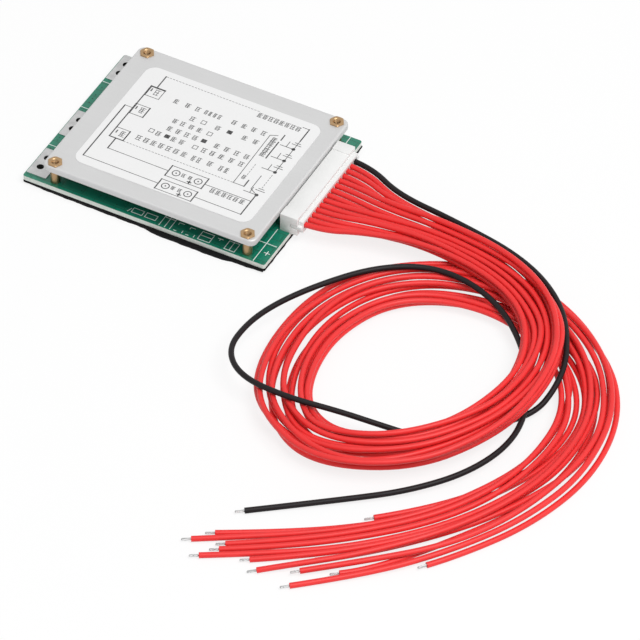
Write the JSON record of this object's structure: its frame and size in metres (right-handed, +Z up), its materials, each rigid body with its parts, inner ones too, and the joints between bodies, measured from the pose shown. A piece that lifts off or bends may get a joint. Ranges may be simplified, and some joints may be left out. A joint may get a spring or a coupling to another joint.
{
  "type": "battery management board",
  "caption": "Circuit board on an insulating sheet with a heat plate clamped over it by brass nuts, tinned terminal pads at one end and a plugged-in loop of loose sense wires.",
  "frame": {"origin": "centre of the board on the underside of the insulating sheet", "axes": "+X along the board towards the wire connector, +Y to the far long edge, +Z up to the heat plate"},
  "size_m": [0.2093, 0.1799, 0.0121],
  "materials": {
    "sheet_black": "matt black insulating sheet",
    "board_green": "green solder resist with a pale cut edge",
    "plate_aluminium": "fine matt aluminium",
    "label_white": "white printed label",
    "nut_brass": "turned brass",
    "screw_steel": "plated steel",
    "moulding_black": "moulded black",
    "tin_plating": "tinned metal",
    "pad_grey": "soft grey thermal pad",
    "chip_tan": "fired ceramic",
    "connector_white": "white moulded nylon",
    "wire_red": "red insulation",
    "wire_black": "black insulation"
  },
  "bodies": {
    "root": {"insulating_sheet": "sheet_black", "circuit_board": "board_green", "heat_plate": "plate_aluminium", "plate_label": "label_white", "barrel_nuts": "nut_brass", "clamp_screws": "screw_steel", "transistor_bodies": "moulding_black", "transistor_tabs": "tin_plating", "transistor_leads": "tin_plating", "thermal_pad": "pad_grey", "shunt_bodies": "moulding_black", "shunt_ends": "tin_plating", "balance_resistors": "moulding_black", "resistor_ends": "tin_plating", "balance_transistors": "moulding_black", "balance_transistor_leads": "tin_plating", "chip_capacitors": "chip_tan", "capacitor_ends": "tin_plating", "control_chips": "moulding_black", "control_chip_leads": "tin_plating", "header_housing": "connector_white", "header_pins": "tin_plating", "plug_housing": "connector_white", "crimp_contacts": "tin_plating", "stripped_ends": "tin_plating", "terminal_pad_charge": "tin_plating", "terminal_pad_load": "tin_plating", "terminal_pad_battery": "tin_plating", "sense_wire_01": "wire_red", "sense_wire_02": "wire_red", "sense_wire_03": "wire_red", "sense_wire_04": "wire_red", "sense_wire_05": "wire_red", "sense_wire_06": "wire_red", "sense_wire_07": "wire_red", "sense_wire_08": "wire_red", "sense_wire_09": "wire_red", "sense_wire_10": "wire_red", "sense_wire_11": "wire_red", "sense_wire_12": "wire_red", "sense_wire_13": "wire_red", "pack_negative_wire": "wire_black"}
  },
  "joints": []
}
